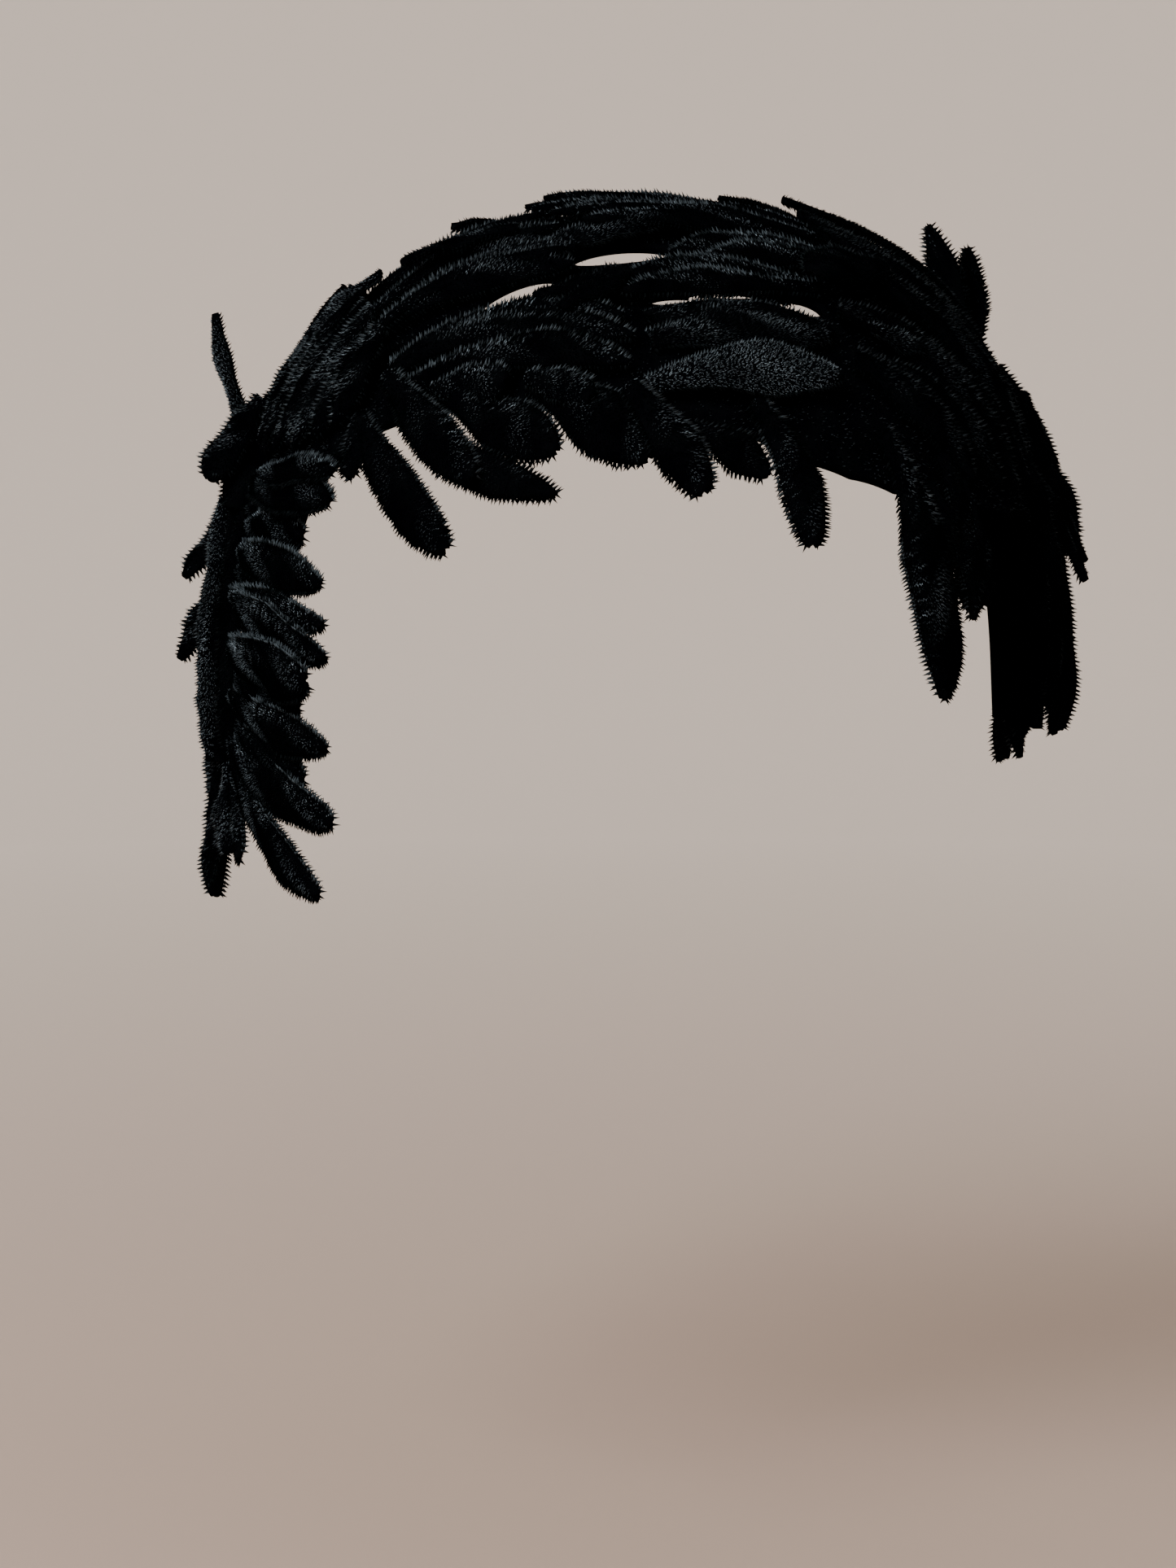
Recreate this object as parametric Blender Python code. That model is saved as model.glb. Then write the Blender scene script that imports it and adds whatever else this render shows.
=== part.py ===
"""Velvet leaf halo hat: an open half hat of overlapping velvet leaves on an arched foundation band.

Metres, +Z up. The front is at -Y, and +X is on the right of the front view. The origin is the point
inside the top of the band that the hat rests on.

Every place on the hat is given on one smooth form, the inside of the hat, by three values:
  side   degrees over the arch from the top, minus towards -X
  fore   degrees forward from the line over the crown, minus towards the back
  lift   millimetres off the form
"""
import math
from collections import namedtuple
from itertools import groupby

import bmesh
import bpy
from mathutils import Vector

for old in list(bpy.data.objects):
    bpy.data.objects.remove(old, do_unlink=True)

MM = 0.001

# The form: half its width and half its depth at the foot of its arch, the arch's height and how square it
# is, and the step in degrees over which its slope is taken
FORM_HALF_WIDTH = 86 * MM
FORM_HALF_DEPTH = 96 * MM
FORM_HEIGHT = 97 * MM
FORM_SQUARENESS = 2.35
FORM_STEP = 0.2

# The foundation band: its wall, and the size of one cell of its net
BAND_THICKNESS = 2.0 * MM
BAND_LIFT = 1.0
BAND_LEFT_END = -104
BAND_RIGHT_END = 97
BAND_CELLS_OVER = 40
BAND_CELLS_ACROSS = 8

# One leaf: its wall, its faces along it, those of the long leaves along the band, its faces over its
# width, how much the rows crowd to its tip, and the share of its length over which its direction is taken
LEAF_THICKNESS = 1.5 * MM
LEAF_ROWS = 6
RIB_ROWS = 5
LEAF_COLUMNS = 2
LEAF_TIP_CROWDING = 1.25
LEAF_STEP = 0.02

# A leaf's outline: where it is widest, its base against its full width, and the length of its end, which
# would close just past the tip. A strip's outline: how late it is drawn in at its ends
LEAF_WIDEST = 0.62
LEAF_BASE = 0.36
LEAF_END = 0.39
STRIP_ENDS = 6

# Black pile velvet as it looks from a step away: on the leaves, and the darker band under them
LEAF_COLOUR = (0.010, 0.012, 0.014)
BAND_COLOUR = (0.006, 0.006, 0.008)
VELVET_ROUGHNESS = 0.9


def arch(side):
    """The form's width and height at one angle: a rounded arch, then straight down at both sides."""
    turn = math.radians(abs(side))
    if abs(side) >= 90:
        return math.copysign(FORM_HALF_WIDTH, side), FORM_HEIGHT * (math.pi / 2 - turn)
    up, out = math.cos(turn), math.sin(turn)
    reach = (up ** FORM_SQUARENESS + out ** FORM_SQUARENESS) ** (-1 / FORM_SQUARENESS)
    return math.copysign(FORM_HALF_WIDTH * reach * out, side), FORM_HEIGHT * reach * up


def on_form(side, fore):
    """A point on the form."""
    width, height = arch(side)
    ahead = math.radians(fore)
    if abs(side) < 90:
        height *= math.cos(ahead)
    return Vector((width * math.cos(ahead), -FORM_HALF_DEPTH * math.sin(ahead), height - FORM_HEIGHT))


def off_form(side, fore):
    """The direction straight off the form."""
    over = on_form(side + FORM_STEP, fore) - on_form(side - FORM_STEP, fore)
    ahead = on_form(side, fore + FORM_STEP) - on_form(side, fore - FORM_STEP)
    return ahead.cross(over).normalized()


def place(side, fore, lift):
    """A point at a height off the form."""
    return on_form(side, fore) + off_form(side, fore) * lift * MM


def between(start, end, share):
    """The value a share of the way from start to end."""
    return start + (end - start) * share


def read_edge(table, side):
    """The value at one angle in a table of (side, value) rows."""
    for (left, first), (right, second) in zip(table, table[1:]):
        if side <= right:
            return between(first, second, max(side - left, 0) / (right - left))
    return table[-1][1]


Leaf = namedtuple("Leaf", "name side fore tip_side tip_fore width lift tip_lift bow roll point")


def pointed(leaf, along):
    """Half width of a leaf against its widest: a narrow base, widest at two thirds, then its point."""
    if along < LEAF_WIDEST:
        rise = along / LEAF_WIDEST
        return between(LEAF_BASE, 1, rise * rise * (3 - 2 * rise))
    return max(1 - ((along - LEAF_WIDEST) / LEAF_END) ** 2, 0) ** leaf.point


def straight(leaf, along):
    """Half width of a strip against its widest: it is drawn in at both ends."""
    return max(1 - abs(2 * along - 1) ** STRIP_ENDS, LEAF_BASE)


def spine(leaf, along):
    """A point on the line from a leaf's base to its tip, which follows the form."""
    return place(between(leaf.side, leaf.tip_side, along), between(leaf.fore, leaf.tip_fore, along),
                 between(leaf.lift, leaf.tip_lift, along))


def leaf_point(leaf, outline, crown, along, across):
    """A point on the middle sheet of a leaf: along 0 to 1 from its base, across -1 to 1."""
    run = (spine(leaf, along + LEAF_STEP) - spine(leaf, along - LEAF_STEP)).normalized()
    out = off_form(between(leaf.side, leaf.tip_side, along), between(leaf.fore, leaf.tip_fore, along))
    out = (out - run * out.dot(run)).normalized()
    sideways = out.cross(run)
    roll = math.radians(leaf.roll)
    edge = sideways * math.cos(roll) + out * math.sin(roll)
    face = out * math.cos(roll) - sideways * math.sin(roll)
    middle = spine(leaf, along) + sideways * leaf.bow * MM * math.sin(math.pi * along)
    half = leaf.width * MM / 2 * outline(leaf, along)
    return middle + edge * across * half + face * crown * MM * (1 - across ** 2)


def new_object(name, bm, material):
    """An object from a finished mesh."""
    mesh = bpy.data.meshes.new(name)
    bm.to_mesh(mesh)
    bm.free()
    mesh.materials.append(material)
    piece = bpy.data.objects.new(name, mesh)
    bpy.context.scene.collection.objects.link(piece)
    return piece


def give_wall(piece, thickness):
    """Turns a sheet into a closed wall, half to each side."""
    wall = piece.modifiers.new("wall", "SOLIDIFY")
    wall.thickness = thickness
    wall.offset = 0


def velvet(name, colour):
    """A velvet, which has no shine of its own."""
    material = bpy.data.materials.new(name)
    material.use_nodes = True
    shader = material.node_tree.nodes["Principled BSDF"]
    shader.inputs["Base Color"].default_value = (*colour, 1)
    shader.inputs["Roughness"].default_value = VELVET_ROUGHNESS
    shader.inputs["Metallic"].default_value = 0.0
    return material


LEAF_VELVET = velvet("leaf_velvet", LEAF_COLOUR)
BAND_VELVET = velvet("band_velvet", BAND_COLOUR)


def add_leaf(leaf, outline, crown, rows):
    """One leaf: a creased sheet of faces bent to its place, with a wall."""
    bm = bmesh.new()
    bmesh.ops.create_grid(bm, x_segments=rows, y_segments=LEAF_COLUMNS, size=0.5)
    for vert in bm.verts:
        along = 1 - (0.5 - vert.co.x) ** LEAF_TIP_CROWDING
        vert.co = leaf_point(leaf, outline, crown, along, vert.co.y * 2)
    piece = new_object(leaf.name, bm, LEAF_VELVET)
    give_wall(piece, LEAF_THICKNESS)
    return piece


def add_leaves(table, crown, rows):
    """The leaves of one table. Rows that share a name grow from one base and are one piece."""
    for name, stem in groupby(table, key=lambda leaf: leaf.name):
        first, *others = [add_leaf(leaf, pointed, crown, rows) for leaf in stem]
        for other in others:
            other.name = name + "_branch"
            other.hide_render = True
            other.display_type = "WIRE"
            joint = first.modifiers.new("branch", "BOOLEAN")
            joint.operation = "UNION"
            joint.solver = "EXACT"
            joint.object = other


# The band's front and back edges: side, fore
BAND_FRONT = [(-104, 12), (-75, 16), (-65, 18), (-55, 26), (-45, 38), (-35, 47), (-20, 54), (0, 57.5),
              (15, 60.5), (28, 60.5), (40, 58.5), (52, 53), (60, 44), (68, 29), (78, 18), (97, 12)]
BAND_BACK = [(-104, -10), (-60, -12), (0, -10), (60, -10), (97, -6)]

# Where the band's net is left open: side from, side to, fore from, fore to
BAND_OPENINGS = [
    (-38, -21, 23, 32),
    (-17, -2, 23, 30),
    (-11, 18, 34.5, 40),
]


def add_band():
    """The foundation band over the form, open between its bars where the leaves part."""
    bm = bmesh.new()
    bmesh.ops.create_grid(bm, x_segments=BAND_CELLS_OVER, y_segments=BAND_CELLS_ACROSS, size=0.5)
    spots = {}
    for vert in bm.verts:
        side = between(BAND_LEFT_END, BAND_RIGHT_END, vert.co.x + 0.5)
        fore = between(read_edge(BAND_BACK, side), read_edge(BAND_FRONT, side), vert.co.y + 0.5)
        spots[vert] = (side, fore)
    gaps = []
    for face in bm.faces:
        side = sum(spots[v][0] for v in face.verts) / 4
        fore = sum(spots[v][1] for v in face.verts) / 4
        if any(a < side < b and c < fore < d for a, b, c, d in BAND_OPENINGS):
            gaps.append(face)
    for vert, (side, fore) in spots.items():
        vert.co = place(side, fore, BAND_LIFT)
    bmesh.ops.delete(bm, geom=gaps, context="FACES")
    give_wall(new_object("foundation_band", bm, BAND_VELVET), BAND_THICKNESS)


# Long leaves that lie along the band, side by side. Each spray of them runs over the ends of the next
RIB_CROWN = 0.7
RIBS = [
    Leaf("left_rib_1", -41, -0.5, -61, -11.5, 7, 8, 4.4, -0.5, -20, 0.9),
    Leaf("left_rib_1", -41, -0.5, -61.5, -8, 7, 8, 4.4, 0.5, -20, 0.9),
    Leaf("left_rib_2", -41, 5, -61.5, -4, 7, 8, 4.4, -0.5, -20, 0.9),
    Leaf("left_rib_2", -41, 5, -61.5, -0.5, 7, 8, 4.4, 0.5, -20, 0.9),
    Leaf("left_rib_3", -41, 10, -61.5, 3, 7, 8, 4.4, -0.5, -20, 0.9),
    Leaf("left_rib_3", -41, 10, -61.5, 6, 7, 8, 4.4, 0.5, -20, 0.9),
    Leaf("left_rib_4", -42, 15.5, -60.5, 10.5, 7, 8, 4.4, -0.5, -20, 0.9),
    Leaf("left_rib_4", -42, 15.5, -60, 13.5, 7, 8, 4.4, 0.5, -20, 0.9),
    Leaf("left_rib_5", -43.5, 20.5, -58.5, 17.5, 7, 8, 4.4, -0.5, -20, 0.9),
    Leaf("left_rib_5", -43.5, 20.5, -56, 21, 7, 8, 4.4, 0.5, -20, 0.9),
    Leaf("upper_rib_1", -13, 4, -34, 2, 8, 3.6, 3.6, 0, -10, 0.7),
    Leaf("upper_rib_1", -13, 4, -34, -3, 7, 3.6, 3.6, 0, -10, 0.7),
    Leaf("upper_rib_2", -45, 6, -15, 9, 7, 4.4, 4.4, 0.5, 20, 0.9),
    Leaf("upper_rib_2", -45, 6, -15, 12.5, 7, 4.4, 4.4, -0.5, 20, 0.9),
    Leaf("upper_rib_3", -45, 11, -15, 16, 7, 4.4, 4.4, 0.5, 20, 0.9),
    Leaf("upper_rib_3", -45, 11, -15, 19.5, 7, 4.4, 4.4, -0.5, 20, 0.9),
    Leaf("upper_rib_4", -45.5, 15.5, -17, 23.5, 7, 4.4, 4.4, 0.5, 20, 0.9),
    Leaf("upper_rib_4", -45.5, 15.5, -19, 27.5, 7, 4.4, 4.4, -0.5, 20, 0.9),
    Leaf("upper_rib_5", -47, 25.5, -17, 40, 7.5, 4.4, 4.4, 0.5, 15, 0.9),
    Leaf("upper_rib_5", -47, 25.5, -17, 43.5, 7, 4.4, 4.4, -0.5, 15, 0.9),
    Leaf("upper_rib_6", -48, 30, -20, 47, 7.5, 4.4, 4.4, 0, 15, 0.9),
    Leaf("middle_rib_1", 8, 5, -14, 0, 8, 3.5, 5.4, 0, -10, 0.7),
    Leaf("middle_rib_2", 22, 11, -18, 10, 7, 3.6, 7.2, 0.5, -20, 0.9),
    Leaf("middle_rib_2", 22, 11, -18, 6.5, 7, 3.6, 7.2, -0.5, -20, 0.9),
    Leaf("middle_rib_3", 22, 17, -17, 15, 7, 3.7, 7.0, -0.5, -20, 0.9),
    Leaf("middle_rib_3", 22, 17, -13, 21, 7, 3.7, 7.0, 0.5, -20, 0.9),
    Leaf("middle_rib_4", 22, 22.5, -4, 26, 7, 4.2, 4.6, -0.5, -20, 0.9),
    Leaf("middle_rib_4", 22, 22.5, -2, 29, 6.5, 4.2, 4.6, 0.5, -20, 0.9),
    Leaf("middle_rib_5", 18, 32, -17, 31.8, 6, 3.4, 6.4, -0.5, -15, 0.9),
    Leaf("middle_rib_5", 18, 32, -15, 35.2, 5.5, 3.4, 6.4, 0.5, -15, 0.9),
    Leaf("right_rib_1", 34, 4, 12, -3, 9, 3.4, 7, 0, -10, 0.7),
    Leaf("right_rib_2", 19, 9, 55, 2, 7.5, 7.1, 6, 0.5, 20, 0.9),
    Leaf("right_rib_2", 19, 9, 56, 6, 7.5, 7.1, 6, -0.5, 20, 0.9),
    Leaf("right_rib_3", 19, 14.5, 58, 10, 7.5, 7.1, 5, 0.5, 20, 0.9),
    Leaf("right_rib_3", 19, 14.5, 58.5, 14, 7.5, 7.1, 5, -0.5, 20, 0.9),
    Leaf("right_rib_4", 19, 20, 59, 18, 7.5, 7.1, 4.2, 0.5, 20, 0.9),
    Leaf("right_rib_4", 19, 20, 59.5, 22, 7.5, 7.1, 4.2, -0.5, 20, 0.9),
    Leaf("right_rib_5", 19, 26, 60, 26, 7.5, 6.8, 3.9, 0.5, 20, 0.9),
    Leaf("right_rib_5", 19, 26, 60, 30, 7.5, 6.8, 3.9, -0.5, 20, 0.9),
    Leaf("right_rib_6", 20, 37, 60, 34.5, 7.5, 4.4, 4.4, 0.5, 15, 0.9),
    Leaf("right_rib_6", 20, 37, 59, 39, 7.5, 4.4, 4.4, -0.5, 15, 0.9),
    Leaf("right_rib_7", 23, 45, 56, 43, 8, 4.4, 4.4, 0.5, 15, 0.9),
    Leaf("right_rib_7", 23, 45, 51, 48.5, 8, 4.4, 4.4, -0.5, 15, 0.9),
]

# Leaves whose bases are caught on the band and whose tips hang free past its front edge
FRONT_CROWN = 1.0
FRONT_LEAVES = [
    Leaf("front_leaf_01", -54, 24.5, -61, 29, 7, 3.3, 4, 0, 0, 0.6),
    Leaf("front_leaf_01", -54, 24.5, -64.5, 47.5, 8.5, 3.3, 5, 0, 0, 0.45),
    Leaf("front_leaf_02", -50.5, 33, -46, 56, 7.5, 3.4, 3.2, -4, 0, 0.8),
    Leaf("front_leaf_03", -48, 28, -53, 47, 8.5, 7.2, 6, 0, 0, 0.5),
    Leaf("front_leaf_04", -45, 37, -40, 52.5, 11.5, 3.4, 3.8, -1, 0, 0.7),
    Leaf("front_leaf_05", -35, 43, -26, 59.7, 14, 3.4, 4.6, 0, 0, 0.6),
    Leaf("front_leaf_06", -22.5, 51, -18, 66, 9, 6.7, 7.7, 0, 0, 0.5),
    Leaf("front_leaf_07", -14, 57, 3.5, 63.5, 8, 3.2, 3.4, 0, 0, 0.6),
    Leaf("front_leaf_08", 3, 54, 19, 71.5, 8, 3.15, 5, 0, 0, 0.45),
    Leaf("front_leaf_09", 31, 54, 88, 66, 12.5, 3.3, 4.8, -6, 0, 0.5),
    Leaf("front_leaf_10", 47, 52, 72, 58.5, 7, 3.2, 4, 0, 0, 0.8),
    Leaf("top_leaf_wide", -14.5, 44, 19, 42, 12, 3.4, 3.4, 0, 0, 0.6),
    Leaf("top_leaf_bright", -18.8, 51, 20.5, 49.5, 11.5, 5.0, 5.2, 0, 0, 0.7),
]

# Leaves of the spray that hangs down the left side
SPRAY_CROWN = 1.0
LEFT_SPRAY = [
    Leaf("left_leaf_01", -56, -6, -66.5, -7, 9, 8.8, 13.5, 0, -50, 0.4),
    Leaf("left_leaf_02", -66, -3, -61.5, 27.5, 7, 3.6, 7, 0, -20, 0.6),
    Leaf("left_leaf_02", -66, -3, -65, 29, 9.5, 3.6, 7, 0, -20, 0.7),
    Leaf("left_leaf_03", -71, -3, -70, 22, 7.5, 3.6, 3.6, 0, 0, 0.5),
    Leaf("left_leaf_04", -74, -3, -75, 31, 8, 3.6, 7.5, 0, 0, 0.8),
    Leaf("left_leaf_05", -79.5, -3, -80, 31, 8, 3.6, 6.2, 0, 20, 0.9),
    Leaf("left_leaf_05", -79.5, -3, -84, 32, 11, 3.6, 6.2, 0, 20, 0.8),
    Leaf("left_leaf_06", -86, -3.5, -87.5, 30, 12, 3.7, 7.8, 0, 12, 0.45),
    Leaf("left_leaf_07", -92, -3, -96, 30, 8.5, 3.6, 3.8, 0, 0, 0.8),
    Leaf("left_leaf_08", -98, -4, -104.5, 32, 9.5, 3.6, 4.5, 0, 0, 0.6),
    Leaf("left_leaf_08", -98, -4, -113.5, 29, 9.5, 3.6, 4.5, -1, 0, 0.6),
    Leaf("left_leaf_09", -101, -7, -112, 4, 9, 3.6, 4, 0, 0, 0.45),
    Leaf("left_leaf_09", -101, -7, -117, -9, 6, 3.6, 9, 0, 0, 0.6),
    Leaf("left_leaf_10", -66, -11, -77, -22, 7, 3.25, 10, 0, 0, 0.7),
    Leaf("left_leaf_11", -76, -11, -86, -24, 7, 3.25, 9, 0, 0, 0.7),
]

# Leaves at the right end
RIGHT_CROWN = 1.0
RIGHT_SPRAY = [
    Leaf("right_leaf_01", 54, 17, 66, 11, 11, 8, 8, 0, 0, 0.6),
    Leaf("right_leaf_02", 63, 21, 75.5, 14, 8, 3.4, 11, 0, 0, 0.7),
    Leaf("right_leaf_02", 63, 21, 77, 22, 7, 3.4, 9, 0, 0, 0.7),
    Leaf("right_leaf_03", 68, 5, 88, 7, 11, 4.6, 7.2, 0, 25, 0.6),
    Leaf("right_leaf_03", 68, 5, 84, 0, 9, 4.6, 7.2, 0, 25, 0.6),
    Leaf("right_leaf_04", 76, 13, 97, 16, 10, 3.4, 3.6, 0, 0, 0.5),
    Leaf("right_leaf_04", 76, 13, 95, 10, 9, 3.4, 3.6, 0, 0, 0.5),
    Leaf("right_leaf_05", 84, -3, 103, -8, 9, 3.3, 3.3, 0, 0, 0.7),
    Leaf("right_leaf_05", 84, -3, 102, 1, 9, 3.3, 3.3, 0, 0, 0.7),
]

# Leaves along the back edge, some of them springing up off it
BACK_CROWN = 1.0
BACK_LEAVES = [
    Leaf("upright_leaf", -61.5, -10.7, -50.5, -9.5, 7, 6.4, 27, 0, 30, 0.6),
    Leaf("spike_leaf", 53, -4, 37, -5, 7, 3.6, 24, 0, 50, 0.8),
    Leaf("spike_leaf", 53, -4, 43, -6, 9, 3.6, 24, 0, 50, 0.8),
    Leaf("back_leaf_1", -16, -5, -25, -6, 5, 3.2, 8, 0, 0, 0.7),
    Leaf("back_leaf_2", -38, -6, -50, -23, 9, 3.1, 5, 0, 0, 0.6),
    Leaf("back_leaf_2", -38, -6, -35, -24, 9, 3.1, 5, 0, 0, 0.6),
    Leaf("back_leaf_3", -8, -5, -19, -22, 9, 3.1, 5, 0, 0, 0.6),
    Leaf("back_leaf_3", -8, -5, -4, -24, 9, 3.1, 5, 0, 0, 0.6),
    Leaf("back_leaf_4", 24, -5, 14, -22, 9, 3.1, 5, 0, 0, 0.6),
    Leaf("back_leaf_4", 24, -5, 30, -24, 9, 3.1, 5, 0, 0, 0.6),
    Leaf("back_leaf_5", 64, -6, 56, -25, 9, 3.1, 5, 0, 0, 0.6),
    Leaf("back_leaf_5", 64, -6, 72, -23, 9, 3.1, 5, 0, 0, 0.6),
]

# The ribbon that binds the stems of the left spray
STEM_CROWN = 0.5
STEM = Leaf("left_stem_ribbon", -68.5, -9, -101, -9, 10, 6.9, 6.9, 0, -50, 0)

add_band()
add_leaves(RIBS, RIB_CROWN, RIB_ROWS)
add_leaves(FRONT_LEAVES, FRONT_CROWN, LEAF_ROWS)
add_leaves(LEFT_SPRAY, SPRAY_CROWN, LEAF_ROWS)
add_leaves(RIGHT_SPRAY, RIGHT_CROWN, LEAF_ROWS)
add_leaves(BACK_LEAVES, BACK_CROWN, LEAF_ROWS)
add_leaf(STEM, straight, STEM_CROWN, LEAF_ROWS)
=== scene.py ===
"""Looks of the velvet leaf halo hat: the camera, the band, each spray of leaves, and the studio."""
import math
from collections import namedtuple
from itertools import groupby

import bmesh
import bpy
import numpy as np
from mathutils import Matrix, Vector


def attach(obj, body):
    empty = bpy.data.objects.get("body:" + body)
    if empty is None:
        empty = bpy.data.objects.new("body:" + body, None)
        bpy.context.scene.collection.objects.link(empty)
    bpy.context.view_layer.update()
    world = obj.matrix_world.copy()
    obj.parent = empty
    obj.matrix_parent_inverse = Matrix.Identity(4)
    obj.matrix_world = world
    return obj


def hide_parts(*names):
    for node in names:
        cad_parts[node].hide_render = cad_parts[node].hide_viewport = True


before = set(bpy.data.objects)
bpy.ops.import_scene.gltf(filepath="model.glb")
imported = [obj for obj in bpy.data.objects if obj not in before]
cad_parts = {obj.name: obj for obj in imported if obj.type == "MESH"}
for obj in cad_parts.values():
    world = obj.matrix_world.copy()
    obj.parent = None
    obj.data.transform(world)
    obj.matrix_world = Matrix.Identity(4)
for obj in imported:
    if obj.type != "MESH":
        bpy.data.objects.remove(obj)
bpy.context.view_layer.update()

# Camera. It stands 0.7 m off, nearly level and a little to the left of the hat's front, and is set
# by the place in the picture of the middle of the form that the hat was blocked on.
MM = 0.001
IMAGE_WIDTH = 1445
IMAGE_HEIGHT = 1927
SENSOR_LONG_SIDE = 36.0
CAMERA_DISTANCE = 700 * MM
CAMERA_AZIMUTH = math.radians(-13)
CAMERA_ELEVATION = math.radians(6)
METRES_A_PIXEL = 0.18 * MM
FORM_MIDDLE = Vector((0, 0, -97 * MM))
FORM_MIDDLE_PIXEL = (790, 830)

rightward = Vector((math.cos(CAMERA_AZIMUTH), math.sin(CAMERA_AZIMUTH), 0))
inward = Vector((-math.sin(CAMERA_AZIMUTH) * math.cos(CAMERA_ELEVATION),
                 math.cos(CAMERA_AZIMUTH) * math.cos(CAMERA_ELEVATION), -math.sin(CAMERA_ELEVATION)))
upward = rightward.cross(inward)
aim = (FORM_MIDDLE - rightward * (FORM_MIDDLE_PIXEL[0] - IMAGE_WIDTH / 2) * METRES_A_PIXEL
       - upward * (IMAGE_HEIGHT / 2 - FORM_MIDDLE_PIXEL[1]) * METRES_A_PIXEL)
camera_data = bpy.data.cameras.new("camera")
camera_data.sensor_width = SENSOR_LONG_SIDE
camera_data.lens = SENSOR_LONG_SIDE * CAMERA_DISTANCE / (IMAGE_HEIGHT * METRES_A_PIXEL)
camera_data.dof.use_dof = False
camera = bpy.data.objects.new("camera", camera_data)
camera.location = aim - inward * CAMERA_DISTANCE
camera.rotation_euler = inward.to_track_quat("-Z", "Y").to_euler()
bpy.context.scene.collection.objects.link(camera)
bpy.context.scene.camera = camera


# Foundation band: a stiffened net pressed over a block, with black velvet laid over it and turned in.
# Its front edge is cut in a long wave, and between its bars it is open where the leaves part.
FORM_HALF_WIDTH = 86 * MM
FORM_HALF_DEPTH = 96 * MM
FORM_HEIGHT = 97 * MM
FORM_SQUARENESS = 2.35
FORM_STEP = 0.2
BAND_THICKNESS = 2.0 * MM
BAND_LIFT = 1.0
BAND_CELLS_OVER = 200
BAND_CELLS_ACROSS = 110

# Edges of the band: places are degrees over the block from its top, and degrees forward.
BAND_LEFT_END = -104
BAND_RIGHT_END = 97
BAND_FRONT = [(-104, 12), (-75, 16), (-65, 18), (-55, 26), (-45, 38), (-35, 47), (-20, 54), (0, 57.5),
              (15, 60.5), (28, 60.5), (40, 58.5), (52, 53), (60, 44), (68, 29), (78, 18), (97, 12)]
BAND_BACK = [(-104, -10), (-60, -12), (0, -10), (60, -10), (97, -6)]

# Opening: an oval between the bars, by its middle and its half sizes, in the same degrees.
Opening = namedtuple("Opening", "side fore half_side half_fore")
BAND_OPENINGS = [Opening(-28.5, 27, 7, 2.8), Opening(-10.5, 24.1, 8, 2.9), Opening(-6.2, 36.1, 5.3, 1.3),
                 Opening(2.5, 34.9, 6.5, 1.3), Opening(15, 36, 4, 2)]

rng = np.random.default_rng(7)


def unit(vectors):
    """The vectors at length one."""
    return vectors / np.linalg.norm(vectors, axis=-1, keepdims=True)


def between(start, end, share):
    """The value a share of the way from start to end."""
    return start + (end - start) * share


def on_form(side, fore):
    """Points on the block: side is degrees over it from the top, fore is degrees forward."""
    turn = np.radians(np.abs(side))
    ahead = np.radians(fore)
    up, out = np.cos(turn), np.sin(turn)
    reach = (np.abs(up) ** FORM_SQUARENESS + out ** FORM_SQUARENESS) ** (-1 / FORM_SQUARENESS)
    low = np.abs(side) >= 90
    width = np.where(low, FORM_HALF_WIDTH, FORM_HALF_WIDTH * reach * out)
    height = np.where(low, FORM_HEIGHT * (math.pi / 2 - turn), FORM_HEIGHT * reach * up * np.cos(ahead))
    return np.stack([np.copysign(width, side) * np.cos(ahead), -FORM_HALF_DEPTH * np.sin(ahead),
                     height - FORM_HEIGHT], axis=-1)


def off_form(side, fore):
    """The directions straight off the block."""
    over = on_form(side + FORM_STEP, fore) - on_form(side - FORM_STEP, fore)
    ahead = on_form(side, fore + FORM_STEP) - on_form(side, fore - FORM_STEP)
    return unit(np.cross(ahead, over))


def place(side, fore, lift):
    """Points at a height in millimetres off the block."""
    return on_form(side, fore) + off_form(side, fore) * np.asarray(lift)[..., None] * MM


def linear(colour):
    """A colour written as sRGB hex, as the linear values that a shader takes."""
    values = [int(colour[i:i + 2], 16) / 255 for i in (0, 2, 4)]
    return (*[v / 12.92 if v <= 0.04045 else ((v + 0.055) / 1.055) ** 2.4 for v in values], 1)


def add_node(material, kind, inputs=(), **settings):
    """Adds one node: its inputs are values, or outputs of other nodes that it is linked to."""
    node = material.node_tree.nodes.new(kind)
    for name, value in settings.items():
        setattr(node, name, value)
    for socket, value in dict(inputs).items():
        if isinstance(value, bpy.types.NodeSocket):
            material.node_tree.links.new(value, node.inputs[socket])
        else:
            node.inputs[socket].default_value = value
    return node


def new_material(name):
    """A material with no nodes yet."""
    material = bpy.data.materials.new(name)
    material.use_nodes = True
    material.node_tree.nodes.clear()
    return material


def new_piece(name, mesh, material):
    """An object that rides on the hat, from a finished mesh."""
    mesh.materials.append(material)
    piece = bpy.data.objects.new(name, mesh)
    bpy.context.scene.collection.objects.link(piece)
    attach(piece, "root")
    return piece


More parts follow.
